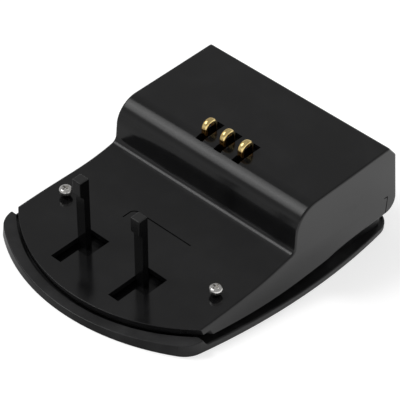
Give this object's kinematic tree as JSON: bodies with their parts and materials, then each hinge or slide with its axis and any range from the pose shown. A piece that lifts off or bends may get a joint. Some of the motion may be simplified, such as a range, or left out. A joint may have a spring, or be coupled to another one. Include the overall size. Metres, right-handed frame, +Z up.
{
  "type": "camera battery charger",
  "caption": "Black desktop charger with a sloping deck, hook posts and sprung gold contacts on a raised block, on a lens-shaped base.",
  "frame": {"origin": "centre of the bounding box in plan, on the flat underside of the base", "axes": "+Z up, +Y from the hook posts toward the contact block and rear wall, +X to the right seen from the front"},
  "size_m": [0.091, 0.116, 0.0368],
  "materials": {
    "case_black": "glossy black moulded plastic",
    "base_black": "glossy black moulded plastic",
    "post_black": "satin black moulded plastic",
    "screw_steel": "bright nickel-plated steel",
    "contact_gold": "gold-plated spring strip",
    "carrier_black": "plain black moulding",
    "board_green": "green solder mask",
    "chip_black": "moulded black package",
    "coil_ferrite": "dark grey ferrite",
    "can_aluminium": "plain aluminium can",
    "inlet_black": "plain black moulding",
    "pin_brass": "turned brass"
  },
  "bodies": {
    "charger": {"upper_shell": "case_black", "base_plate": "base_black", "hook_post_left": "post_black", "hook_post_right": "post_black", "deck_screw_left": "screw_steel", "deck_screw_right": "screw_steel", "contact_carrier": "carrier_black", "circuit_board": "board_green", "charge_chip": "chip_black", "rectifier_diode": "chip_black", "power_coil": "coil_ferrite", "smoothing_capacitor": "can_aluminium", "output_capacitor": "can_aluminium", "dc_inlet": "inlet_black", "dc_inlet_pin": "pin_brass", "board_screw_left": "screw_steel", "board_screw_right": "screw_steel", "base_screw_left": "screw_steel", "base_screw_right": "screw_steel"},
    "contact_left_spring": {"contact_left": "contact_gold"},
    "contact_middle_spring": {"contact_middle": "contact_gold"},
    "contact_right_spring": {"contact_right": "contact_gold"}
  },
  "joints": [
    {"name": "contact_left_press", "type": "slide", "parent": "charger", "child": "contact_left_spring", "axis": [0, 0.1193, -0.9929], "range_m": [0, 0.0018], "stiffness_N_per_m": 400},
    {"name": "contact_middle_press", "type": "slide", "parent": "charger", "child": "contact_middle_spring", "axis": [0, 0.1193, -0.9929], "range_m": [0, 0.0018], "stiffness_N_per_m": 400},
    {"name": "contact_right_press", "type": "slide", "parent": "charger", "child": "contact_right_spring", "axis": [0, 0.1193, -0.9929], "range_m": [0, 0.0018], "stiffness_N_per_m": 400}
  ]
}
